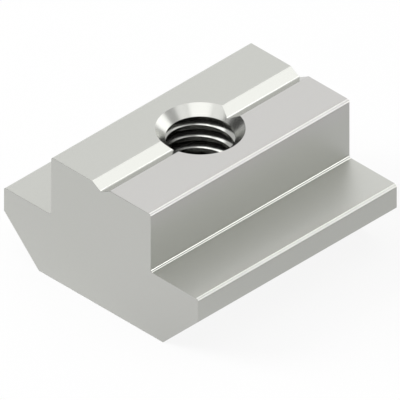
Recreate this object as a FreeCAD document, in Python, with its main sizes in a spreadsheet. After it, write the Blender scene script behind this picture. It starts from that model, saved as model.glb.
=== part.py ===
import FreeCAD, Part
import enum
import math
import os

import Sketcher

# T-slot nut, in millimetres: one length of T-shaped steel bar, tapped through its middle.
# Origin: the middle of the underside, on the axis of the threaded hole.
# +Y runs along the slot, +Z points out of it and +X across it.

NODE = "slot_nut"

# Name, value and meaning of each driving dimension
SIZES = [
    ("nut_length", 20.0, "length along the slot"),
    ("wing_width", 19.5, "width across the two wings"),
    ("wing_height", 5.5, "underside to the shoulders that bear on the slot's lips"),
    ("corner_bevel", 3.5, "leg of the 45 degree bevel on each lower corner"),
    ("neck_width", 10.0, "width of the neck that stands in the slot's mouth"),
    ("neck_height", 5.0, "shoulders to the top face"),
    ("edge_radius", 0.2, "radius of the lengthwise upper edges and of the neck's roots"),
    ("groove_depth", 0.5, "depth of the centring groove along the top"),
    ("groove_angle", 120.0, "angle between the groove's walls"),
    ("groove_root_radius", 0.2, "radius at the bottom of the groove"),
    ("thread_diameter", 6.0, "nominal diameter of the metric thread"),
    ("thread_pitch", 1.0, "pitch of the metric thread"),
    ("countersink_land", 0.225, "how far each countersink reaches past the thread, a side"),
    ("countersink_angle", 90.0, "full angle of both countersinks"),
]

# Sizes that follow from the driving ones
DERIVED = [
    ("total_height", "wing_height + neck_height", "underside to the top face"),
    ("tap_drill", "thread_diameter - thread_pitch", "diameter at the crests of the thread"),
    ("countersink_diameter", "thread_diameter + 2 * countersink_land", "at the faces"),
]

# The points of a curve, in the order that a sketch counts them
Spot = enum.IntEnum("Spot", ["START", "END", "CENTRE"])

# What a sketch calls its own two axes; its origin is the start of the first one
Axis = enum.IntEnum("Axis", {"ACROSS": -1, "UP": -2})

# Places closer than this count as one
MATCH = 1e-4


def make_sheet(doc):
    """Puts each size in a row: its name, its value under that name, and its meaning."""
    sheet = doc.addObject("Spreadsheet::Sheet", "Sizes")
    rows = [(name, str(value), meaning) for name, value, meaning in SIZES]
    rows += [(name, "=" + rule, meaning) for name, rule, meaning in DERIVED]
    for row, (name, content, meaning) in enumerate(rows, 1):
        sheet.set(f"A{row}", name)
        sheet.set(f"B{row}", content)
        sheet.setAlias(f"B{row}", name)
        sheet.set(f"C{row}", meaning)
    doc.recompute()
    return sheet


def new_sketch(body, name, plane):
    """Starts a sketch on one of the body's own origin planes."""
    sketch = body.newObject("Sketcher::SketchObject", name)
    support = next(item for item in body.Origin.OriginFeatures if item.Role == plane)
    sketch.AttachmentSupport = [(support, "")]
    sketch.MapMode = "FlatFace"
    return sketch


def rule(sketch, *terms):
    """Adds one geometric constraint."""
    sketch.addConstraint(Sketcher.Constraint(*terms))


def dimension(sketch, name, formula, *terms):
    """Adds one named dimension and ties it to the sheet."""
    index = sketch.addConstraint(Sketcher.Constraint(*terms))
    sketch.renameConstraint(index, name)
    sketch.setExpression("Constraints." + name, formula)


def draw_section(body, sheet):
    """Draws the bar's section, seen along its length, symmetric about the vertical axis."""
    sketch = new_sketch(body, "BarSection", "XZ_Plane")
    wing = sheet.wing_width / 2
    neck = sheet.neck_width / 2
    bevel = sheet.corner_bevel
    right_side = [
        (wing - bevel, 0),
        (wing, bevel),
        (wing, sheet.wing_height),
        (neck, sheet.wing_height),
        (neck, sheet.total_height),
    ]
    left_side = [(-x, z) for x, z in reversed(right_side)]
    corners = [FreeCAD.Vector(x, z, 0) for x, z in right_side + left_side]
    count = len(corners)
    for index, corner in enumerate(corners):
        sketch.addGeometry(Part.LineSegment(corner, corners[(index + 1) % count]))
    for index in range(count):
        rule(sketch, "Coincident", index, Spot.END, (index + 1) % count, Spot.START)

    # Each line is named after what it is on the bar
    bevel_right, wing_right, shoulder_right, neck_right, top = range(5)
    underside = count - 1
    for step in range(len(right_side)):
        rule(sketch, "Symmetric", step, Spot.START, underside - step, Spot.START, Axis.UP)
    rule(sketch, "PointOnObject", bevel_right, Spot.START, Axis.ACROSS)
    rule(sketch, "Vertical", wing_right)
    rule(sketch, "Horizontal", shoulder_right)
    rule(sketch, "Vertical", neck_right)

    half = "Sizes.{} / 2"
    dimension(sketch, "WingHalf", half.format("wing_width"),
              "DistanceX", Axis.ACROSS, Spot.START, wing_right, Spot.START, wing)
    dimension(sketch, "NeckHalf", half.format("neck_width"),
              "DistanceX", Axis.ACROSS, Spot.START, neck_right, Spot.START, neck)
    dimension(sketch, "BevelAcross", "Sizes.corner_bevel",
              "DistanceX", bevel_right, Spot.START, bevel_right, Spot.END, bevel)
    dimension(sketch, "BevelUp", "Sizes.corner_bevel",
              "DistanceY", bevel_right, Spot.START, bevel_right, Spot.END, bevel)
    dimension(sketch, "WingTop", "Sizes.wing_height",
              "DistanceY", Axis.ACROSS, Spot.START, wing_right, Spot.END, sheet.wing_height)
    dimension(sketch, "NeckTop", "Sizes.total_height",
              "DistanceY", Axis.ACROSS, Spot.START, top, Spot.START, sheet.total_height)
    return sketch


def pad_bar(body, section):
    """Draws the section out along the slot, half each way from the hole."""
    pad = body.newObject("PartDesign::Pad", "Bar")
    pad.Profile = section
    pad.SideType = "Symmetric"
    pad.setExpression("Length", "Sizes.nut_length")
    return pad


def draw_groove(body, sheet):
    """Draws the groove's section: two sloping walls that meet in a small round root."""
    sketch = new_sketch(body, "GrooveSection", "XZ_Plane")
    slope = math.radians((180 - sheet.groove_angle) / 2)
    radius = sheet.groove_root_radius
    top = sheet.total_height
    root = top - sheet.groove_depth
    middle = FreeCAD.Vector(0, root + radius, 0)
    tangent = FreeCAD.Vector(radius * math.sin(slope), -radius * math.cos(slope), 0) + middle
    mouth = FreeCAD.Vector(tangent.x + (top - tangent.y) / math.tan(slope), top, 0)

    def mirrored(point):
        return FreeCAD.Vector(-point.x, point.y, 0)

    left_wall, right_wall, root_arc, lid = range(4)
    bottom_point = FreeCAD.Vector(0, root, 0)
    sketch.addGeometry(Part.LineSegment(mirrored(mouth), mirrored(tangent)))
    sketch.addGeometry(Part.LineSegment(tangent, mouth))
    sketch.addGeometry(Part.Arc(mirrored(tangent), bottom_point, tangent))
    sketch.addGeometry(Part.LineSegment(mouth, mirrored(mouth)))
    rule(sketch, "Tangent", left_wall, Spot.END, root_arc, Spot.START)
    rule(sketch, "Tangent", root_arc, Spot.END, right_wall, Spot.START)
    rule(sketch, "Coincident", right_wall, Spot.END, lid, Spot.START)
    rule(sketch, "Coincident", lid, Spot.END, left_wall, Spot.START)
    rule(sketch, "Symmetric", left_wall, Spot.START, right_wall, Spot.END, Axis.UP)
    rule(sketch, "PointOnObject", root_arc, Spot.CENTRE, Axis.UP)
    dimension(sketch, "RootRadius", "Sizes.groove_root_radius", "Radius", root_arc, radius)
    dimension(sketch, "WallSlope", "90 deg - Sizes.groove_angle * 1 deg / 2",
              "Angle", right_wall, slope)
    dimension(sketch, "RootCentre",
              "Sizes.total_height - Sizes.groove_depth + Sizes.groove_root_radius",
              "DistanceY", Axis.ACROSS, Spot.START, root_arc, Spot.CENTRE, middle.y)
    dimension(sketch, "Mouth", "Sizes.total_height",
              "DistanceY", Axis.ACROSS, Spot.START, lid, Spot.START, top)
    return sketch


def cut_groove(body, section):
    """Cuts the centring groove along the whole top."""
    pocket = body.newObject("PartDesign::Pocket", "CentringGroove")
    pocket.Profile = section
    pocket.SideType = "Symmetric"
    pocket.setExpression("Length", "Sizes.nut_length")
    return pocket


def draw_hole_place(body, sheet):
    """Marks the hole with a circle of the drill's size, level with the top face."""
    sketch = new_sketch(body, "HolePlace", "XY_Plane")
    sketch.setExpression("AttachmentOffset.Base.z", "Sizes.total_height")
    centre = FreeCAD.Vector(0, 0, 0)
    radius = sheet.tap_drill / 2
    circle = sketch.addGeometry(Part.Circle(centre, FreeCAD.Vector(0, 0, 1), radius))
    rule(sketch, "Coincident", circle, Spot.CENTRE, Axis.ACROSS, Spot.START)
    dimension(sketch, "DrillRadius", "Sizes.tap_drill / 2", "Radius", circle, radius)
    return sketch


def drill_hole(body, place):
    """Drills the hole for the tap right through and countersinks its upper end."""
    hole = body.newObject("PartDesign::Hole", "TappedHole")
    hole.Profile = place
    hole.DepthType = "ThroughAll"
    hole.HoleCutType = "Countersink"
    hole.HoleCutCustomValues = True
    hole.setExpression("Diameter", "Sizes.tap_drill")
    hole.setExpression("HoleCutDiameter", "Sizes.countersink_diameter")
    hole.setExpression("HoleCutCountersinkAngle", "Sizes.countersink_angle * 1 deg")
    return hole


def rim_edges(shape, radius, height):
    """Names the round edges of one radius that lie at one height."""
    names = []
    for number, edge in enumerate(shape.Edges, 1):
        is_round = isinstance(edge.Curve, Part.Circle)
        if not is_round or abs(edge.Curve.Radius - radius) > MATCH:
            continue
        if abs(edge.Curve.Center.z - height) < MATCH:
            names.append(f"Edge{number}")
    return names


def countersink_underside(body, sheet, base):
    """Breaks the hole's lower rim with the same countersink as the upper one."""
    chamfer = body.newObject("PartDesign::Chamfer", "LowerCountersink")
    chamfer.Base = (base, rim_edges(base.Shape, sheet.tap_drill / 2, 0))
    chamfer.ChamferType = "Two distances"
    across = "(Sizes.countersink_diameter - Sizes.tap_drill) / 2"
    chamfer.setExpression("Size", across + " / tan(Sizes.countersink_angle * 1 deg / 2)")
    chamfer.setExpression("Size2", across)
    return chamfer


def lengthwise_edges(shape, places):
    """Names the straight edges along the bar that pass through the places in its section."""
    names = []
    for number, edge in enumerate(shape.Edges, 1):
        if not isinstance(edge.Curve, Part.Line) or abs(edge.Curve.Direction.y) < 1 - MATCH:
            continue
        middle = edge.CenterOfMass
        if any(math.hypot(abs(middle.x) - x, middle.z - z) < MATCH for x, z in places):
            names.append(f"Edge{number}")
    return names


def round_edges(body, sheet, base):
    """Rounds the drawn bar's upper edges and the inner corners where the neck meets the wings."""
    places = [
        (sheet.neck_width / 2, sheet.total_height),
        (sheet.neck_width / 2, sheet.wing_height),
        (sheet.wing_width / 2, sheet.wing_height),
    ]
    fillet = body.newObject("PartDesign::Fillet", "DrawnEdges")
    fillet.Base = (base, lengthwise_edges(base.Shape, places))
    fillet.setExpression("Radius", "Sizes.edge_radius")
    return fillet


def check_cut(feature, base):
    """Stops if a cut took nothing away."""
    if feature.Shape.Volume >= base.Shape.Volume - MATCH:
        raise RuntimeError(feature.Name + " cuts nothing")


def make_nut(doc, sheet):
    """Makes the nut in the order it is made in steel: bar, groove, hole, edges."""
    body = doc.addObject("PartDesign::Body", "SlotNut")
    body.Label = NODE
    body.Placement = FreeCAD.Placement()

    bar = pad_bar(body, draw_section(body, sheet))
    doc.recompute()
    rounded = round_edges(body, sheet, bar)
    doc.recompute()
    groove = cut_groove(body, draw_groove(body, sheet))
    doc.recompute()
    place = draw_hole_place(body, sheet)
    doc.recompute()
    hole = drill_hole(body, place)
    doc.recompute()
    lower = countersink_underside(body, sheet, hole)
    doc.recompute()

    check_cut(groove, rounded)
    check_cut(hole, groove)
    check_cut(lower, hole)
    return body


def check_document(doc, bodies):
    """Stops if any object failed or any body is empty or not valid."""
    for item in doc.Objects:
        if "Invalid" in item.State or "Error" in item.State:
            raise RuntimeError(f"{item.Name} failed: {item.State}")
    for body in bodies:
        if body.Shape.isNull() or not body.Shape.isValid():
            raise RuntimeError(f"{body.Label} has no valid shape")
        if len(body.Shape.Solids) != 1:
            raise RuntimeError(f"{body.Label} isn't one solid")


def main():
    doc = FreeCAD.newDocument("SlotNut")
    sheet = make_sheet(doc)
    bodies = [make_nut(doc, sheet)]
    check_document(doc, bodies)

    os.makedirs("parts", exist_ok=True)
    for body in bodies:
        body.Shape.exportStep(f"parts/{body.Label}.step")
        box = body.Shape.BoundBox
        print(body.Label, "volume", round(body.Shape.Volume, 2), "mm3, box",
              round(box.XLength, 3), round(box.YLength, 3), round(box.ZLength, 3))


main()
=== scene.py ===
import math

import bmesh
import bpy
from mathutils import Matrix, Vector


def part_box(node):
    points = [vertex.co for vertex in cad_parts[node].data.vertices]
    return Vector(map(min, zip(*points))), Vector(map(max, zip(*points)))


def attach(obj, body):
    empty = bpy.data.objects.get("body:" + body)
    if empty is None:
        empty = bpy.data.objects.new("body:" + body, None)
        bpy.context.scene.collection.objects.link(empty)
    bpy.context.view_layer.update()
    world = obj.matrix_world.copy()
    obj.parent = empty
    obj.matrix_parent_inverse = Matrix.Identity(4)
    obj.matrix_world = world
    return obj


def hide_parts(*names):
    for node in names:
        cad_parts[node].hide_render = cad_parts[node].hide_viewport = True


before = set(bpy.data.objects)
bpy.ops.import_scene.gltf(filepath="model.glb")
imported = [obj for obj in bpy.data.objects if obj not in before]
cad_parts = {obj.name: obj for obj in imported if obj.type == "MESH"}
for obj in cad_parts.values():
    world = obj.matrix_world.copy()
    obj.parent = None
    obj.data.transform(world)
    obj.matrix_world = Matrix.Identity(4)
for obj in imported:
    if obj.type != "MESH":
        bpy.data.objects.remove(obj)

bl_info = {
    "name": "T-slot nut",
    "version": (1, 0, 0),
    "blender": (4, 5, 0),
    "location": "3D View > Sidebar > Slot Nut",
    "description": "Drawn, tapped and plated nut for a 10 mm slot, with its studio",
    "category": "Object",
}

MM = 0.001
CAD_NODE = "slot_nut"
CAD_BODY = "root"
CAD_LOW, CAD_HIGH = (Vector(corner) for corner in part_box(CAD_NODE))

SOLVER = "MANIFOLD"

# Which tool left a face, written on the face while the nut is cut
CUTTER_MARK = "cutter"
DRAWN, TAPPED, TURNED = range(3)

# Edges that turn less than this are shaded smooth
SMOOTH_ANGLE = math.radians(27)

# Sizes of the marks in the finishes along X, Y and Z. An axis without marks has 1 metre
DIE_LINES = (0.07 * MM, 5 * MM, 0.07 * MM)
SAW_LINES = (0.09 * MM, 1.0, 1.0)
TURNING_LINES = (0.04 * MM, 0.04 * MM, 1.0)
MOTTLE = (0.25 * MM, 0.25 * MM, 0.25 * MM)
CLOUDS = (9 * MM, 9 * MM, 9 * MM)
SOFT_DETAIL, PLAIN_DETAIL, FINE_DETAIL = 1.0, 3.0, 4.0

# Middle of the saw blade whose arcs show on the cut ends
SAW_CENTRE = Vector((90, 0, -60)) * MM


class BarSizes(bpy.types.PropertyGroup):
    """Sizes of the drawn bar that the nut is cut from."""

    length: bpy.props.FloatProperty(
        name="Length", description="Along the slot",
        default=CAD_HIGH.y - CAD_LOW.y, unit="LENGTH")
    wing_width: bpy.props.FloatProperty(
        name="Wing Width", description="Across both wings",
        default=CAD_HIGH.x - CAD_LOW.x, unit="LENGTH")
    wing_height: bpy.props.FloatProperty(
        name="Wing Height", description="Underside to the shoulders",
        default=5.5 * MM, unit="LENGTH")
    corner_bevel: bpy.props.FloatProperty(
        name="Corner Bevel", description="Leg of the bevel on each lower corner",
        default=3.5 * MM, unit="LENGTH")
    neck_width: bpy.props.FloatProperty(
        name="Neck Width", description="Width of the neck in the slot's mouth",
        default=10.0 * MM, unit="LENGTH")
    total_height: bpy.props.FloatProperty(
        name="Total Height", description="Underside to the top face",
        default=CAD_HIGH.z - CAD_LOW.z, unit="LENGTH")
    edge_radius: bpy.props.FloatProperty(
        name="Edge Radius", description="Radius of the lengthwise upper edges",
        default=0.2 * MM, unit="LENGTH")
    cut_edge: bpy.props.FloatProperty(
        name="Cut Edge", description="How far the edges of the cut ends are broken",
        default=0.015 * MM, unit="LENGTH")
    groove_depth: bpy.props.FloatProperty(
        name="Groove Depth", description="Depth of the centring groove",
        default=0.5 * MM, unit="LENGTH")
    groove_angle: bpy.props.FloatProperty(
        name="Groove Angle", description="Angle between the groove's walls",
        default=math.radians(120), subtype="ANGLE")
    groove_root_radius: bpy.props.FloatProperty(
        name="Groove Root Radius", description="Radius at the bottom of the groove",
        default=0.2 * MM, unit="LENGTH")


class ThreadSizes(bpy.types.PropertyGroup):
    """Sizes of the metric thread and of its countersinks."""

    pitch: bpy.props.FloatProperty(
        name="Pitch", description="Rise of the thread in one turn",
        default=1.0 * MM, unit="LENGTH")
    crest_radius: bpy.props.FloatProperty(
        name="Crest Radius", description="Radius of the drilled hole, where the crests lie",
        default=2.5 * MM, unit="LENGTH")
    crest_flat: bpy.props.FloatProperty(
        name="Crest Flat", description="Width of the flat that the tap leaves on each crest",
        default=0.25 * MM, unit="LENGTH")
    root_flat: bpy.props.FloatProperty(
        name="Root Flat", description="Width of the bottom of the thread's groove",
        default=0.125 * MM, unit="LENGTH")
    root_radius: bpy.props.FloatProperty(
        name="Root Rounding", description="Radius of the corners of the groove's bottom",
        default=0.04 * MM, unit="LENGTH")
    thread_angle: bpy.props.FloatProperty(
        name="Thread Angle", description="Angle between the thread's flanks",
        default=math.radians(60), subtype="ANGLE")
    crest_height: bpy.props.FloatProperty(
        name="Crest Height",
        description="Height of one crest's middle above the underside, on the -X +Y diagonal",
        default=8.915 * MM, unit="LENGTH")
    countersink_radius: bpy.props.FloatProperty(
        name="Countersink Radius", description="Radius of both countersinks at the faces",
        default=3.225 * MM, unit="LENGTH")
    countersink_angle: bpy.props.FloatProperty(
        name="Countersink Angle", description="Full angle of both countersinks",
        default=math.radians(90), subtype="ANGLE")
    steps: bpy.props.IntProperty(
        name="Steps per Turn", description="Facets in one turn of the thread",
        default=160, min=24)


def arc_points(centre, radius, start, end, steps):
    """Points along an arc from one angle to another, both ends included."""
    points = []
    for step in range(steps + 1):
        angle = start + (end - start) * step / steps
        points.append(centre + radius * Vector((math.cos(angle), math.sin(angle))))
    return points


def bar_section(sizes):
    """The bar's section as X and Z places, anticlockwise from the middle of the underside."""
    wing, neck = sizes.wing_width / 2, sizes.neck_width / 2
    shoulder, top = sizes.wing_height, sizes.total_height
    radius, bevel = sizes.edge_radius, sizes.corner_bevel
    quarter, edge_steps, root_steps = math.pi / 2, 8, 4

    right = [Vector((wing - bevel, 0)), Vector((wing, bevel))]
    outer = Vector((wing - radius, shoulder - radius))
    right += arc_points(outer, radius, 0, quarter, edge_steps)
    inner = Vector((neck + radius, shoulder + radius))
    right += arc_points(inner, radius, 3 * quarter, 2 * quarter, edge_steps)
    upper = Vector((neck - radius, top - radius))
    right += arc_points(upper, radius, 0, quarter, edge_steps)

    slope = (math.pi - sizes.groove_angle) / 2
    root = Vector((0, top - sizes.groove_depth + sizes.groove_root_radius))
    root_arc = arc_points(
        root, sizes.groove_root_radius, slope - quarter, -quarter, root_steps)
    tangent = root_arc[0]
    right.append(Vector((tangent.x + (top - tangent.y) / math.tan(slope), top)))
    right += root_arc

    left = [Vector((-point.x, point.y)) for point in reversed(right)]
    return right + left[1:]


def inset(section, distance):
    """The section moved inwards by one distance all round."""
    moved = []
    count = len(section)
    for index, point in enumerate(section):
        before = (point - section[index - 1]).normalized()
        after = (section[(index + 1) % count] - point).normalized()
        normals = [Vector((-way.y, way.x)) for way in (before, after)]
        middle = (normals[0] + normals[1]).normalized()
        moved.append(point + middle * distance / middle.dot(normals[0]))
    return moved


def bar_mesh(sizes):
    """Draws the section along Y, with the edges of both cut ends broken."""
    section = bar_section(sizes)
    broken = inset(section, sizes.cut_edge)
    end = sizes.length / 2
    rings = [
        (-end, broken), (-end + sizes.cut_edge, section),
        (end - sizes.cut_edge, section), (end, broken),
    ]
    mesh = bmesh.new()
    loops = [[mesh.verts.new((x, y, z)) for x, z in outline] for y, outline in rings]
    for near, far in zip(loops, loops[1:]):
        for index in range(len(near)):
            after = (index + 1) % len(near)
            mesh.faces.new((near[index], far[index], far[after], near[after]))
    mesh.faces.new(loops[0])
    mesh.faces.new(reversed(loops[-1]))
    bmesh.ops.recalc_face_normals(mesh, faces=mesh.faces)
    data = bpy.data.meshes.new("bar")
    mesh.to_mesh(data)
    mesh.free()
    return data


class Nodes:
    """Short calls that fill a node tree of any kind."""

    def __init__(self, tree):
        self.tree = tree

    def feed(self, socket, source):
        """Links a socket to another one, or sets it to a plain value."""
        if isinstance(source, bpy.types.NodeSocket):
            self.tree.links.new(source, socket)
        else:
            socket.default_value = source

    def node(self, kind, settings=None, **inputs):
        """Adds a node. An input's name has an underscore for each space."""
        made = self.tree.nodes.new(kind)
        for key, value in (settings or {}).items():
            setattr(made, key, value)
        for name, source in inputs.items():
            self.feed(made.inputs[name.replace("_", " ")], source)
        return made

    def ordered(self, kind, settings, *sources):
        """Adds a node and feeds its inputs in their order."""
        made = self.node(kind, settings)
        for socket, source in zip(made.inputs, sources):
            self.feed(socket, source)
        return made

    def math(self, operation, *terms):
        return self.ordered("ShaderNodeMath", {"operation": operation}, *terms).outputs[0]

    def measure(self, operation, *vectors):
        """A number that vectors give, such as a length."""
        made = self.ordered("ShaderNodeVectorMath", {"operation": operation}, *vectors)
        return made.outputs["Value"]

    def vector(self, x=0.0, y=0.0, z=0.0):
        return self.node("ShaderNodeCombineXYZ", X=x, Y=y, Z=z).outputs[0]

    def ramp(self, value, start, end, low=0.0, high=1.0):
        """Changes softly from one level to another between two places."""
        turned = self.node("ShaderNodeMapRange", {"interpolation_type": "SMOOTHSTEP"},
                           Value=value, From_Min=start, From_Max=end, To_Min=low, To_Max=high)
        return turned.outputs["Result"]

    def mix(self, share, first, second):
        """Mixes two shaders."""
        return self.ordered("ShaderNodeMixShader", {}, share, first, second).outputs[0]

    def show(self, shader):
        """Makes one shader the material's surface."""
        self.feed(self.tree.nodes["Material Output"].inputs["Surface"], shader)


class GeometryNodes(Nodes):
    """A geometry node tree with named inputs."""

    def __init__(self, name):
        super().__init__(bpy.data.node_groups.new(name, "GeometryNodeTree"))
        self.tree.is_modifier = True
        for way in ("INPUT", "OUTPUT"):
            self.tree.interface.new_socket(
                "Geometry", in_out=way, socket_type="NodeSocketGeometry")
        self.entry = None
        self.identifiers = {}

    def add_input(self, name, kind):
        socket = self.tree.interface.new_socket(name, in_out="INPUT", socket_type=kind)
        self.identifiers[name] = socket.identifier

    def open(self):
        self.entry = self.tree.nodes.new("NodeGroupInput")

    def value(self, name):
        return self.entry.outputs[name]

    def close(self, geometry):
        self.node("NodeGroupOutput", Geometry=geometry)


def tapping_tree():
    """The tool that drills, countersinks and taps whatever it is given, along Z."""
    tap = GeometryNodes("drill, countersink and tap")
    for name in ("Length", "Height", "Pitch", "Crest Radius", "Crest Flat", "Root Flat",
                 "Root Rounding", "Flank Slope", "Start Height", "Countersink Radius",
                 "Countersink Slope", "Smooth Angle"):
        tap.add_input(name, "NodeSocketFloat")
    tap.add_input("Steps per Turn", "NodeSocketInt")
    for name in ("Drawn Finish", "Sawn Finish", "Turned Finish", "Tapped Finish"):
        tap.add_input(name, "NodeSocketMaterial")
    tap.open()

    drawn = tap.node("GeometryNodeSetMaterial", Geometry=tap.value("Geometry"),
                     Material=tap.value("Drawn Finish"))
    cut = marked(tap, drawn.outputs[0], DRAWN)
    tools = [
        (drill_nodes(tap), TAPPED), (thread_nodes(tap), TAPPED),
        (countersink_nodes(tap, True), TURNED), (countersink_nodes(tap, False), TURNED),
    ]
    for tool, cutter in tools:
        removal = tap.node(
            "GeometryNodeMeshBoolean", {"operation": "DIFFERENCE", "solver": SOLVER},
            Mesh_1=cut, Mesh_2=marked(tap, tool, cutter))
        cut = removal.outputs[0]

    angle = tap.node("GeometryNodeInputMeshEdgeAngle").outputs["Unsigned Angle"]
    smooth = tap.node("FunctionNodeCompare", {"operation": "LESS_THAN"},
                      A=angle, B=tap.value("Smooth Angle")).outputs[0]
    rounded = tap.node("GeometryNodeSetShadeSmooth", {"domain": "FACE"},
                       Geometry=cut, Shade_Smooth=True)
    edged = tap.node("GeometryNodeSetShadeSmooth", {"domain": "EDGE"},
                     Geometry=rounded.outputs[0], Shade_Smooth=smooth)
    real = tap.node("GeometryNodeRealizeInstances", Geometry=edged.outputs[0])
    finished = real.outputs[0]
    choices = [
        (is_marked(tap, TAPPED), "Tapped Finish"), (is_marked(tap, TURNED), "Turned Finish"),
        (is_cut_end(tap), "Sawn Finish"),
    ]
    for selection, finish in choices:
        finished = tap.node("GeometryNodeSetMaterial", Geometry=finished,
                            Selection=selection, Material=tap.value(finish)).outputs[0]
    tap.close(finished)
    return tap


def marked(tap, geometry, cutter):
    """Writes on each face which tool it comes from, because the cut keeps no materials."""
    made = tap.node("GeometryNodeStoreNamedAttribute", {"data_type": "INT", "domain": "FACE"},
                    Geometry=geometry, Name=CUTTER_MARK, Value=cutter)
    return made.outputs[0]


def is_marked(tap, cutter):
    """True on the faces that one kind of tool left."""
    mark = tap.node("GeometryNodeInputNamedAttribute", {"data_type": "INT"},
                    Name=CUTTER_MARK)
    return tap.node("FunctionNodeCompare", {"data_type": "INT", "operation": "EQUAL"},
                    A=mark.outputs["Attribute"], B=cutter).outputs[0]


def drill_nodes(tap):
    """A drill of the crests' radius that stands out past both faces."""
    height = tap.math("MULTIPLY", tap.value("Height"), 2.0)
    body = tap.node("GeometryNodeMeshCylinder", Vertices=tap.value("Steps per Turn"),
                    Radius=tap.value("Crest Radius"), Depth=height)
    half_step = tap.math("DIVIDE", math.pi, tap.value("Steps per Turn"))
    middle = tap.math("MULTIPLY", tap.value("Height"), 0.5)
    placed = tap.node("GeometryNodeTransform", Geometry=body.outputs["Mesh"],
                      Translation=tap.vector(z=middle), Rotation=tap.vector(z=half_step))
    return placed.outputs[0]


def countersink_nodes(tap, upper):
    """A cone that opens towards one face and stands out past it by as much as it goes in.
    It goes in further than it cuts, so that its end stays inside the drilled hole."""
    overrun = 1.5
    reach = tap.math("SUBTRACT", tap.value("Countersink Radius"), tap.value("Crest Radius"))
    reach = tap.math("MULTIPLY", reach, overrun)
    depth = tap.math("DIVIDE", reach, tap.value("Countersink Slope"))
    wide = tap.math("ADD", tap.value("Countersink Radius"), reach)
    narrow = tap.math("SUBTRACT", tap.value("Countersink Radius"), reach)
    ends = (wide, narrow) if upper else (narrow, wide)
    body = tap.node("GeometryNodeMeshCone", Vertices=tap.value("Steps per Turn"),
                    Radius_Top=ends[0], Radius_Bottom=ends[1],
                    Depth=tap.math("MULTIPLY", depth, 2.0))
    half_step = tap.math("DIVIDE", math.pi, tap.value("Steps per Turn"))
    foot = tap.math("MULTIPLY", depth, -1.0)
    face = tap.math("ADD", foot, tap.value("Height")) if upper else foot
    placed = tap.node("GeometryNodeTransform", Geometry=body.outputs["Mesh"],
                      Translation=tap.vector(z=face), Rotation=tap.vector(z=half_step))
    return placed.outputs[0]


def thread_nodes(tap):
    """The tap's ridge, wound right-handed up the hole and kept between the countersinks."""
    height = tap.math("MULTIPLY", tap.value("Start Height"), -2.0)
    height = tap.math("ADD", tap.value("Height"), height)
    turns = tap.math("CEIL", tap.math("DIVIDE", height, tap.value("Pitch")))
    path = tap.node("GeometryNodeCurveSpiral",
                    Resolution=tap.value("Steps per Turn"), Rotations=turns,
                    Start_Radius=tap.value("Crest Radius"),
                    End_Radius=tap.value("Crest Radius"),
                    Height=tap.math("MULTIPLY", turns, tap.value("Pitch")),
                    Reverse=True)
    upright = tap.node("GeometryNodeSetCurveNormal", {"mode": "Z_UP"}, Curve=path.outputs[0])
    ridge = tap.node("GeometryNodeCurveToMesh", Curve=upright.outputs[0],
                     Profile_Curve=ridge_section(tap), Fill_Caps=True)
    placed = tap.node("GeometryNodeTransform", Geometry=ridge.outputs[0],
                      Translation=tap.vector(z=tap.value("Start Height")))

    ends = tap.math("MULTIPLY", countersink_depth(tap), 2.0)
    between = tap.node("GeometryNodeMeshCylinder", Vertices=tap.value("Steps per Turn"),
                       Radius=tap.math("MULTIPLY", tap.value("Crest Radius"), 2.0),
                       Depth=tap.math("SUBTRACT", tap.value("Height"), ends))
    middle = tap.math("MULTIPLY", tap.value("Height"), 0.5)
    raised = tap.node("GeometryNodeTransform", Geometry=between.outputs["Mesh"],
                      Translation=tap.vector(z=middle))
    kept = tap.node("GeometryNodeMeshBoolean", {"operation": "INTERSECT", "solver": SOLVER})
    for part in (placed, raised):
        tap.feed(kept.inputs["Mesh 2"], part.outputs[0])
    return kept.outputs[0]


def ridge_section(tap):
    """Section of the tap's ridge, with X away from the hole's axis and Y down. It bites
    inwards by a share of the crest's flat, so that no face of it lies on the drilled hole."""
    bite, corner_steps = 0.3, 3
    mouth = tap.math("SUBTRACT", tap.value("Pitch"), tap.value("Crest Flat"))
    rise = tap.math("SUBTRACT", mouth, tap.value("Root Flat"))
    depth = tap.math("DIVIDE", tap.math("MULTIPLY", rise, 0.5), tap.value("Flank Slope"))
    root_half = tap.math("MULTIPLY", tap.value("Root Flat"), 0.5)
    overlap = tap.math("MULTIPLY", tap.value("Crest Flat"), bite)
    spread = tap.math("MULTIPLY", overlap, tap.value("Flank Slope"))
    inward = tap.math("MULTIPLY", overlap, -1.0)
    base_half = tap.math("ADD", tap.math("MULTIPLY", mouth, 0.5), spread)
    outline = tap.node("GeometryNodeCurvePrimitiveQuadrilateral", {"mode": "POINTS"})
    corners = [(inward, base_half, -1.0), (depth, root_half, -1.0),
               (depth, root_half, 1.0), (inward, base_half, 1.0)]
    for number, (across, half, side) in enumerate(corners, 1):
        place = tap.vector(x=across, y=tap.math("MULTIPLY", half, side))
        tap.feed(outline.inputs[f"Point {number}"], place)
    rounded = tap.node("GeometryNodeFilletCurve", {"mode": "POLY"}, Curve=outline.outputs[0],
                       Count=corner_steps, Radius=tap.value("Root Rounding"),
                       Limit_Radius=True)
    return rounded.outputs[0]


def countersink_depth(tap):
    """How far a countersink goes in before it meets the crests."""
    reach = tap.math("SUBTRACT", tap.value("Countersink Radius"), tap.value("Crest Radius"))
    return tap.math("DIVIDE", reach, tap.value("Countersink Slope"))


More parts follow.
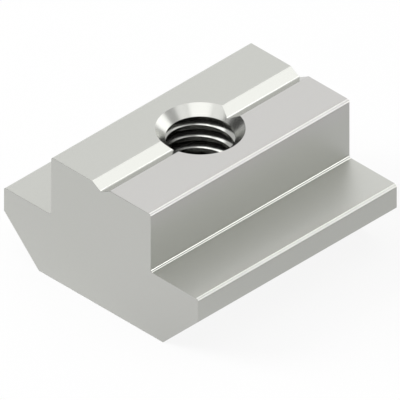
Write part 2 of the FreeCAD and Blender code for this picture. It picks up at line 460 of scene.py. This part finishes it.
def is_cut_end(tap):
    """True on the faces that the saw left: they mostly face along the bar, and lie within
    a tenth of its length from an end."""
    mostly, outer_share = 0.5, 0.4
    normal = tap.node("GeometryNodeInputNormal").outputs[0]
    facing = tap.node("ShaderNodeSeparateXYZ", Vector=normal).outputs["Y"]
    place = tap.node("GeometryNodeInputPosition").outputs[0]
    along = tap.node("ShaderNodeSeparateXYZ", Vector=place).outputs["Y"]
    faces_out = tap.math("GREATER_THAN", tap.math("ABSOLUTE", facing), mostly)
    near_end = tap.math("GREATER_THAN", tap.math("ABSOLUTE", along),
                        tap.math("MULTIPLY", tap.value("Length"), outer_share))
    return tap.math("MULTIPLY", faces_out, near_end)


class Finish(Nodes):
    """A metal finish under construction: one Principled surface and the nodes that feed it."""

    def __init__(self, name, look, shade=1.0):
        self.material = bpy.data.materials.new(name)
        self.material.use_nodes = True
        super().__init__(self.material.node_tree)
        self.surface = self.tree.nodes["Principled BSDF"]
        self.surface.inputs["Metallic"].default_value = 1.0
        self.look = look
        # A shade below 1 darkens the tint: painted shade
        self.shade = shade
        self.place = self.node("ShaderNodeTexCoord").outputs["Object"]
        self.height = None

    def grain(self, place, feature, detail=PLAIN_DETAIL):
        """Noise of one feature size, given in metres for each axis."""
        scaled = self.node("ShaderNodeMapping", Vector=place,
                           Scale=[1 / size for size in feature])
        noise = self.node("ShaderNodeTexNoise", Vector=scaled.outputs[0],
                          Scale=1.0, Detail=detail, Roughness=0.55)
        return noise.outputs["Fac"]

    def vary(self, noise, middle, swing):
        """Turns noise, which mostly lies between 0.3 and 0.7, into a level that swings both
        ways from a middle one."""
        turned = self.node("ShaderNodeMapRange", Value=noise, From_Min=0.3, From_Max=0.7,
                           To_Min=middle - swing, To_Max=middle + swing)
        return turned.outputs["Result"]

    def tint(self, share):
        """Shifts the plating between its two tints."""
        mix = self.node("ShaderNodeMix", {"data_type": "RGBA"})
        factor, cool, warm = [socket for socket in mix.inputs if socket.enabled]
        self.feed(factor, share)
        cool.default_value = (*(self.shade * part for part in self.look.cool_tint), 1.0)
        warm.default_value = (*(self.shade * part for part in self.look.warm_tint), 1.0)
        mixed = next(socket for socket in mix.outputs if socket.enabled)
        self.feed(self.surface.inputs["Base Color"], mixed)

    def cloud(self):
        """Lets the tint drift in wide soft clouds, by up to about a third of the way."""
        drift = 0.15
        self.tint(self.vary(self.grain(self.place, CLOUDS, SOFT_DETAIL), drift, drift))

    def emboss(self, noise, depth):
        """Adds one layer of relief, of a depth in metres."""
        layer = self.math("MULTIPLY", self.math("SUBTRACT", noise, 0.5), depth / MM)
        self.height = layer if self.height is None else self.math("ADD", self.height, layer)

    def plate(self, marks):
        """Lays the plating's soft mottle over a tool's marks, and gives their roughness."""
        mottle_share, mottle_swing, mark_swing = 1.5, 0.02, 0.015
        mottle = self.grain(self.place, MOTTLE, FINE_DETAIL)
        self.emboss(marks, self.look.relief)
        self.emboss(mottle, self.look.relief * mottle_share)
        soft = self.vary(mottle, self.look.roughness, mottle_swing)
        return self.math("ADD", soft, self.vary(marks, 0.0, mark_swing))

    def finish(self, roughness):
        """Gives the surface its relief and roughness, and hands over the material."""
        self.feed(self.surface.inputs["Roughness"], roughness)
        bump = self.node("ShaderNodeBump", Height=self.height, Strength=1.0, Distance=MM)
        self.feed(self.surface.inputs["Normal"], bump.outputs[0])
        return self.material


class FinishLook(bpy.types.PropertyGroup):
    """Colour and gloss of the plated steel."""

    cool_tint: bpy.props.FloatVectorProperty(
        name="Cool Tint", description="Plating where it looks greenish",
        default=(0.555, 0.56, 0.53), subtype="COLOR", size=3, min=0.0, max=1.0)
    warm_tint: bpy.props.FloatVectorProperty(
        name="Warm Tint", description="Plating where it looks warmer",
        default=(0.566, 0.56, 0.546), subtype="COLOR", size=3, min=0.0, max=1.0)
    # Painted shade: below 1, this darkens the thread's tint so that the inside of the hole looks
    # shaded
    thread_painted_shade: bpy.props.FloatProperty(
        name="Thread Shade", description="Share of the tint that the tapped faces keep",
        default=0.75, min=0.0, max=1.0)
    roughness: bpy.props.FloatProperty(
        name="Roughness", description="Softness of reflections in the drawn and sawn faces",
        default=0.41, min=0.0, max=1.0)
    edge_roughness: bpy.props.FloatProperty(
        name="Edge Roughness", description="Softness of reflections in the roundings and groove",
        default=0.15, min=0.0, max=1.0)
    turned_roughness: bpy.props.FloatProperty(
        name="Turned Roughness", description="Softness of reflections in the countersinks",
        default=0.22, min=0.0, max=1.0)
    tapped_roughness: bpy.props.FloatProperty(
        name="Tapped Roughness", description="Softness of reflections in the thread",
        default=0.16, min=0.0, max=1.0)
    relief: bpy.props.FloatProperty(
        name="Relief", description="Depth of the drawing and cutting marks",
        default=0.0004 * MM, unit="LENGTH")


def drawn_finish(look, bar):
    """Long faces: fine lines from the drawing die along Y under the plating's soft mottle.
    The tint is warmer on the neck's upper right."""
    steel = Finish("drawn plated steel", look)
    axes = steel.node("ShaderNodeSeparateXYZ", Vector=steel.place).outputs
    warm_side, warm_heights = (0.3 * MM, 0.9 * MM), (8.5 * MM, 10.4 * MM)
    steel.tint(steel.math("MULTIPLY", steel.ramp(axes["X"], *warm_side),
                          steel.ramp(axes["Z"], *warm_heights)))
    rough = steel.plate(steel.grain(steel.place, DIE_LINES))
    change = steel.math("SUBTRACT", look.edge_roughness, rough)
    change = steel.math("MULTIPLY", change, die_smoothness(steel, axes, bar))
    return steel.finish(steel.math("ADD", rough, change))


def die_smoothness(steel, axes, bar):
    """Is 1 in the roundings and the groove, which the die leaves smoother, and 0 elsewhere.
    It has faded out at these multiples of the groove's and the roundings' size."""
    groove_fade, rounding_fade = 1.04, 1.15
    side = steel.math("ABSOLUTE", axes["X"])
    groove = bar.groove_depth * math.tan(bar.groove_angle / 2)
    on_top = steel.ramp(axes["Z"], bar.wing_height, bar.total_height - 2 * bar.groove_depth)
    smooth = steel.math("MULTIPLY", steel.ramp(side, groove * groove_fade, groove), on_top)
    neck, wing = bar.neck_width / 2, bar.wing_width / 2
    for across, up in ((neck, bar.total_height), (neck, bar.wing_height),
                       (wing, bar.wing_height)):
        away = steel.vector(x=steel.math("SUBTRACT", side, across),
                            z=steel.math("SUBTRACT", axes["Z"], up))
        rounding = steel.ramp(steel.measure("LENGTH", away),
                              bar.edge_radius * rounding_fade, bar.edge_radius)
        smooth = steel.math("MAXIMUM", smooth, rounding)
    return smooth


def sawn_finish(look):
    """Cut ends: the saw's wide shallow arcs."""
    steel = Finish("sawn plated steel", look)
    steel.cloud()
    from_saw = steel.node("ShaderNodeMapping", Vector=steel.place, Location=-SAW_CENTRE)
    sweep = steel.vector(x=steel.measure("LENGTH", from_saw.outputs[0]))
    return steel.finish(steel.plate(steel.grain(sweep, SAW_LINES, FINE_DETAIL)))


def cut_finish(name, look, pitch, roughness, shade=1.0):
    """Turned or tapped faces: fine marks round the hole, which climb by one pitch a turn. A
    shade below 1 darkens the tint, as painted shade.
    """
    swing = 0.03
    steel = Finish(name, look, shade)
    steel.cloud()
    axes = steel.node("ShaderNodeSeparateXYZ", Vector=steel.place).outputs
    radius = steel.measure("LENGTH", steel.vector(x=axes["X"], y=axes["Y"]))
    turn = steel.math("DIVIDE", steel.math("ARCTAN2", axes["Y"], axes["X"]), math.tau)
    climb = steel.math("SUBTRACT", axes["Z"], steel.math("MULTIPLY", turn, pitch))
    marks = steel.grain(steel.vector(x=radius, y=climb), TURNING_LINES, FINE_DETAIL)
    steel.emboss(marks, look.relief)
    return steel.finish(steel.vary(marks, roughness, swing))


class SLOTNUT_OT_nut(bpy.types.Operator):
    """Draw the bar, cut it to length, and drill, countersink and tap it"""

    bl_idname = "slotnut.nut"
    bl_label = "Make the Nut"

    def execute(self, context):
        scene = context.scene
        blank = bpy.data.objects.new("bar", bar_mesh(scene.slotnut_bar))
        scene.collection.objects.link(blank)
        tap = tapping_tree()
        modifier = blank.modifiers.new("tap", "NODES")
        modifier.node_group = tap.tree
        for name, value in tap_settings(scene).items():
            modifier[tap.identifiers[name]] = value
        evened = blank.modifiers.new("even normals", "WEIGHTED_NORMAL")
        evened.keep_sharp = True
        graph = context.evaluated_depsgraph_get()
        data = bpy.data.meshes.new_from_object(
            blank.evaluated_get(graph), preserve_all_data_layers=True, depsgraph=graph)
        bpy.data.objects.remove(blank)
        data.name = "plated_nut"
        data.attributes.remove(data.attributes[CUTTER_MARK])
        nut = bpy.data.objects.new("plated_nut", data)
        scene.collection.objects.link(nut)
        check_closed(data)
        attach(nut, CAD_BODY)
        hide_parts(CAD_NODE)
        return {"FINISHED"}


def tap_settings(scene):
    """What each input of the tapping tree is set to."""
    bar, thread, look = scene.slotnut_bar, scene.slotnut_thread, scene.slotnut_look
    turns_down = math.ceil(bar.total_height / thread.pitch) + 1
    return {
        "Length": bar.length,
        "Height": bar.total_height,
        "Pitch": thread.pitch,
        "Crest Radius": thread.crest_radius,
        "Crest Flat": thread.crest_flat,
        "Root Flat": thread.root_flat,
        "Root Rounding": thread.root_radius,
        "Flank Slope": math.tan(thread.thread_angle / 2),
        "Start Height": thread_start(thread, turns_down),
        "Countersink Radius": thread.countersink_radius,
        "Countersink Slope": math.tan(thread.countersink_angle / 2),
        "Smooth Angle": SMOOTH_ANGLE,
        "Steps per Turn": thread.steps,
        "Drawn Finish": drawn_finish(look, bar),
        "Sawn Finish": sawn_finish(look),
        "Turned Finish": cut_finish("turned plated steel", look, 0.0, look.turned_roughness),
        # The tapped finish keeps only the thread's share of the tint, which paints shade into
        # the hole
        "Tapped Finish": cut_finish("tapped plated steel", look, thread.pitch,
                                    look.tapped_roughness, look.thread_painted_shade),
    }


def thread_start(thread, turns_down):
    """Height at which the tap's ridge starts, on the +X axis, so that a crest's middle passes
    the -X +Y diagonal at its stated height."""
    diagonal_turn = 135 / 360
    groove = thread.crest_height - thread.pitch / 2
    return groove - diagonal_turn * thread.pitch - turns_down * thread.pitch


def check_closed(data):
    """Stops if the nut's skin is open or inside out."""
    mesh = bmesh.new()
    mesh.from_mesh(data)
    open_edges = sum(not edge.is_manifold for edge in mesh.edges)
    volume = mesh.calc_volume()
    mesh.free()
    found = f"{open_edges} open edges and {volume / MM ** 3:.2f} mm3 inside"
    print("the nut has", found)
    if open_edges or volume <= 0:
        raise RuntimeError(f"the nut has {found}")


def light(name, source, level):
    """A user's setting for how bright one source of light is."""
    return bpy.props.FloatProperty(
        name=name, description=f"Brightness of the {source}", default=level, min=0.0)


class StudioSetup(bpy.types.PropertyGroup):
    """Where the camera stands and how bright the studio is."""

    azimuth: bpy.props.FloatProperty(
        name="Azimuth", description="Camera's turn round the nut, from straight ahead",
        default=math.radians(45), subtype="ANGLE")
    elevation: bpy.props.FloatProperty(
        name="Elevation", description="Camera's height above the bench",
        default=math.atan(1 / math.sqrt(2)), subtype="ANGLE")
    distance: bpy.props.FloatProperty(
        name="Distance", description="From the camera to the middle of the frame",
        default=300 * MM, unit="LENGTH")
    frame_width: bpy.props.FloatProperty(
        name="Frame Width", description="Width that the camera takes in",
        default=28.425 * MM, unit="LENGTH")
    aim: bpy.props.FloatVectorProperty(
        name="Aim", description="Place in the middle of the frame",
        default=(-0.018 * MM, -0.018 * MM, 4.269 * MM), subtype="TRANSLATION", size=3)
    back_left: light("Back Left Light", "softbox that the top face mirrors", 0.1)
    back: light("Back Light", "low softbox behind the nut", 0.95)
    back_right: light("Back Right Light", "low softbox that the fillets mirror", 4.2)
    upper_back: light("Upper Back Light", "softbox that the groove mirrors", 0.6)
    edge: light("Edge Light", "softbox that the roundings mirror", 2.8)
    upper_front: light(
        "Upper Front Light", "softbox that the countersink's rear mirrors", 0.8)
    upper_left: light(
        "Upper Left Light", "softbox that the countersink's right mirrors", 0.4)
    upper_right: light("Upper Right Light", "softbox on the upper right", 0.4)
    overhead: light("Overhead Light", "softbox that the thread's right side mirrors", 2.0)
    crest: light("Crest Light", "small softbox that the thread's far side mirrors", 2.0)
    sky: light("Sky Light", "lamp that evens out the floor", 0.9)
    key: light("Key Light", "lamp that casts the floor's shadow", 9.5)
    surroundings: light("Surroundings", "light that the floor gets from all round", 0.35)


def softbox(scene, name, place, spread, brightness, role="metal"):
    """A rectangular lamp of an even brightness, turned to the nut. It shows in the metal
    only, or lights the floor only. Its place is a distance, an azimuth and an elevation, and
    its spread how far it reaches to each side and up and down, all angles in degrees."""
    distance = place[0]
    azimuth, elevation = (math.radians(angle) for angle in place[1:])
    size = [2 * distance * math.tan(math.radians(angle)) for angle in spread]
    lamp = bpy.data.lights.new(name, "AREA")
    lamp.shape = "RECTANGLE"
    lamp.size, lamp.size_y = size
    lamp.energy = brightness * math.pi * size[0] * size[1]
    way = Vector((math.cos(azimuth) * math.cos(elevation),
                  math.sin(azimuth) * math.cos(elevation), math.sin(elevation)))
    placed = bpy.data.objects.new(name, lamp)
    placed.location = way * distance
    placed.rotation_euler = way.to_track_quat("Z", "Y").to_euler()
    placed.visible_camera = False
    placed.visible_glossy = role == "metal"
    placed.visible_diffuse = role == "floor"
    scene.collection.objects.link(placed)


def empty_material(name):
    """A material that holds only its output, and the calls that fill it."""
    material = bpy.data.materials.new(name)
    material.use_nodes = True
    nodes = material.node_tree.nodes
    nodes.remove(nodes["Principled BSDF"])
    return material, Nodes(material.node_tree)


def floor_material(name, grey, camera_white=0.0, mirror_levels=None):
    """Matt grey. The camera sees it turned to white by one share. Reflections show a glow
    instead, with a painted shadow in it, if its levels are given."""
    material, nodes = empty_material(name)
    ray = nodes.node("ShaderNodeLightPath").outputs
    matt = nodes.node("ShaderNodeBsdfDiffuse", Color=(grey, grey, grey, 1.0)).outputs[0]
    white = nodes.node("ShaderNodeEmission").outputs[0]
    shown = nodes.mix(nodes.math("MULTIPLY", ray["Is Camera Ray"], camera_white), matt, white)
    if mirror_levels:
        mirrored = nodes.math("MAXIMUM", ray["Is Glossy Ray"], ray["Is Transmission Ray"])
        shown = nodes.mix(mirrored, shown, glow_with_painted_shadow(nodes, mirror_levels))
    nodes.show(shown)
    return material


def glow_with_painted_shadow(nodes, levels):
    """An even glow that changes across the nut from the first level, at its front left, to the
    second, at its back right, and to white further out. The lower level at the back right is a
    painted shadow of the nut, which only reflections show."""
    half_change, near, far = 15 * MM, 30 * MM, 80 * MM
    place = nodes.node("ShaderNodeTexCoord").outputs["Object"]
    across = nodes.measure("DOT_PRODUCT", place, (math.sqrt(0.5), math.sqrt(0.5), 0.0))
    level = nodes.ramp(across, -half_change, half_change, *levels)
    level = nodes.ramp(nodes.measure("LENGTH", place), near, far, level, 1.0)
    return nodes.node("ShaderNodeEmission", Strength=level).outputs[0]


class SLOTNUT_OT_studio(bpy.types.Operator):
    """Set up the floor, the lamps, the world and the camera"""

    bl_idname = "slotnut.studio"
    bl_label = "Set Up the Studio"

    def execute(self, context):
        scene = context.scene
        setup = scene.slotnut_studio
        place_camera(scene, setup)
        hang_lamps(scene, setup)
        set_world(scene, setup.surroundings)
        lay_floor(scene)
        hang_flags(scene)
        scene.view_settings.view_transform = "Standard"
        return {"FINISHED"}


def place_camera(scene, setup):
    """A camera without perspective, turned to the middle of its frame."""
    back = Vector((math.sin(setup.azimuth) * math.cos(setup.elevation),
                   -math.cos(setup.azimuth) * math.cos(setup.elevation),
                   math.sin(setup.elevation)))
    lens = bpy.data.cameras.new("camera")
    lens.type = "ORTHO"
    lens.ortho_scale = setup.frame_width
    lens.clip_start = MM
    camera = bpy.data.objects.new("camera", lens)
    camera.location = Vector(setup.aim) + back * setup.distance
    camera.rotation_euler = back.to_track_quat("Z", "Y").to_euler()
    scene.collection.objects.link(camera)
    scene.camera = camera


def hang_lamps(scene, setup):
    """The softboxes that the metal mirrors, and two lamps for the floor."""
    softboxes = [
        ("back left", (0.80, 125, 35), (24, 18), setup.back_left),
        ("back", (0.78, 72, 16), (17, 14), setup.back),
        ("back right", (0.78, 34, 3), (12, 7), setup.back_right),
        ("upper back", (0.70, 72, 55), (9, 11), setup.upper_back),
        ("edge", (0.70, 90, 56), (4, 8), setup.edge),
        ("upper front", (0.70, 315, 57), (22, 12), setup.upper_front),
        ("upper left", (0.74, 252, 48), (13, 9), setup.upper_left),
        ("upper right", (0.74, 15, 48), (10, 8), setup.upper_right),
        ("overhead", (0.66, 220, 74), (6, 16), setup.overhead),
        ("crest", (0.66, 315, 84), (10, 4), setup.crest),
    ]
    for name, place, spread, brightness in softboxes:
        softbox(scene, name, place, spread, brightness)
    softbox(scene, "sky", (0.6, 0, 90), (37, 37), setup.sky, role="floor")
    softbox(scene, "key", (0.8, 222, 33), (14, 14), setup.key, role="floor")


def hang_flags(scene):
    """Grey screens that hold back the white surroundings in the metal's reflections."""
    flags = [
        ("left flag", (184, 225), (1, 32), 0.07),
        ("low left flag", (150, 184), (1, 14), 0.55),
        ("front flag", (225, 350), (1, 38), 0.1),
        ("right flag", (-15, 22), (6, 40), 0.45),
        ("back right flag", (30, 60), (13, 44), 0.58),
    ]
    for name, azimuths, elevations, level in flags:
        hang_flag(scene, name, azimuths, elevations, level)


def set_world(scene, floor_light):
    """White surroundings that give the floor less light than they show."""
    world = bpy.data.worlds.new("studio")
    world.use_nodes = True
    nodes = Nodes(world.node_tree)
    ray = nodes.node("ShaderNodeLightPath").outputs
    seen = nodes.math("MAXIMUM", ray["Is Camera Ray"], ray["Is Glossy Ray"])
    seen = nodes.math("MAXIMUM", seen, ray["Is Transmission Ray"])
    level = nodes.node("ShaderNodeMapRange", Value=seen, To_Min=floor_light, To_Max=1.0)
    background = world.node_tree.nodes["Background"]
    background.inputs["Color"].default_value = (1.0, 1.0, 1.0, 1.0)
    nodes.feed(background.inputs["Strength"], level.outputs["Result"])
    scene.world = world


def lay_floor(scene):
    """A plain pale floor, with bare matt floor where the nut stands."""
    far = 2.0
    outer = [(-far, -far), (far, -far), (far, far), (-far, far)]
    near_x, near_y = CAD_HIGH.x - scene.slotnut_bar.corner_bevel, CAD_HIGH.y
    inner = [(-near_x, -near_y), (near_x, -near_y), (near_x, near_y), (-near_x, near_y)]
    faces = [(side, (side + 1) % 4, 4 + (side + 1) % 4, 4 + side) for side in range(4)]
    faces.append((4, 5, 6, 7))
    data = bpy.data.meshes.new("floor")
    data.from_pydata([(x, y, 0.0) for x, y in outer + inner], [], faces)
    # The mirrored floor dims from 1.0 to 0.71 towards the back right: a painted shadow for the
    # metal's reflections
    data.materials.append(floor_material(
        "pale floor", grey=0.88, camera_white=0.88, mirror_levels=(1.0, 0.71)))
    data.materials.append(floor_material("floor under the nut", grey=0.8))
    data.polygons[-1].material_index = 1
    floor = bpy.data.objects.new("floor", data)
    scene.collection.objects.link(floor)


def hang_flag(scene, name, azimuths, elevations, level):
    """A curved grey screen round the nut, which only the metal's reflections see. Its two
    ranges are angles in degrees."""
    radius, steps = 1.5, 24
    low, high = (radius * math.tan(math.radians(angle)) for angle in elevations)
    places, faces = [], []
    for step in range(steps + 1):
        angle = math.radians(azimuths[0] + (azimuths[1] - azimuths[0]) * step / steps)
        across = (radius * math.cos(angle), radius * math.sin(angle))
        places += [(*across, low), (*across, high)]
    for step in range(steps):
        first = 2 * step
        faces.append((first, first + 1, first + 3, first + 2))
    data = bpy.data.meshes.new(name)
    data.from_pydata(places, [], faces)
    material, nodes = empty_material(name)
    nodes.show(nodes.node("ShaderNodeEmission", Strength=level).outputs[0])
    data.materials.append(material)
    flag = bpy.data.objects.new(name, data)
    flag.visible_camera = False
    flag.visible_diffuse = False
    flag.visible_shadow = False
    scene.collection.objects.link(flag)


class SLOTNUT_PT_panel(bpy.types.Panel):
    """The nut's sizes and the steps that make it"""

    bl_label = "Slot Nut"
    bl_idname = "SLOTNUT_PT_panel"
    bl_space_type = "VIEW_3D"
    bl_region_type = "UI"
    bl_category = "Slot Nut"

    def draw(self, context):
        for group in (context.scene.slotnut_bar, context.scene.slotnut_thread,
                      context.scene.slotnut_look, context.scene.slotnut_studio):
            box = self.layout.box()
            for name in group.__annotations__:
                box.prop(group, name)
        self.layout.operator(SLOTNUT_OT_nut.bl_idname)
        self.layout.operator(SLOTNUT_OT_studio.bl_idname)


GROUPS = {
    "slotnut_bar": BarSizes,
    "slotnut_thread": ThreadSizes,
    "slotnut_look": FinishLook,
    "slotnut_studio": StudioSetup,
}
CLASSES = [*GROUPS.values(), SLOTNUT_OT_nut, SLOTNUT_OT_studio, SLOTNUT_PT_panel]


def register():
    for kind in CLASSES:
        bpy.utils.register_class(kind)
    for name, group in GROUPS.items():
        setattr(bpy.types.Scene, name, bpy.props.PointerProperty(type=group))


def unregister():
    for name in GROUPS:
        delattr(bpy.types.Scene, name)
    for kind in reversed(CLASSES):
        bpy.utils.unregister_class(kind)


def main():
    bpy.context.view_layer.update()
    register()
    bpy.ops.slotnut.studio()
    bpy.ops.slotnut.nut()


if __name__ == "__main__":
    main()
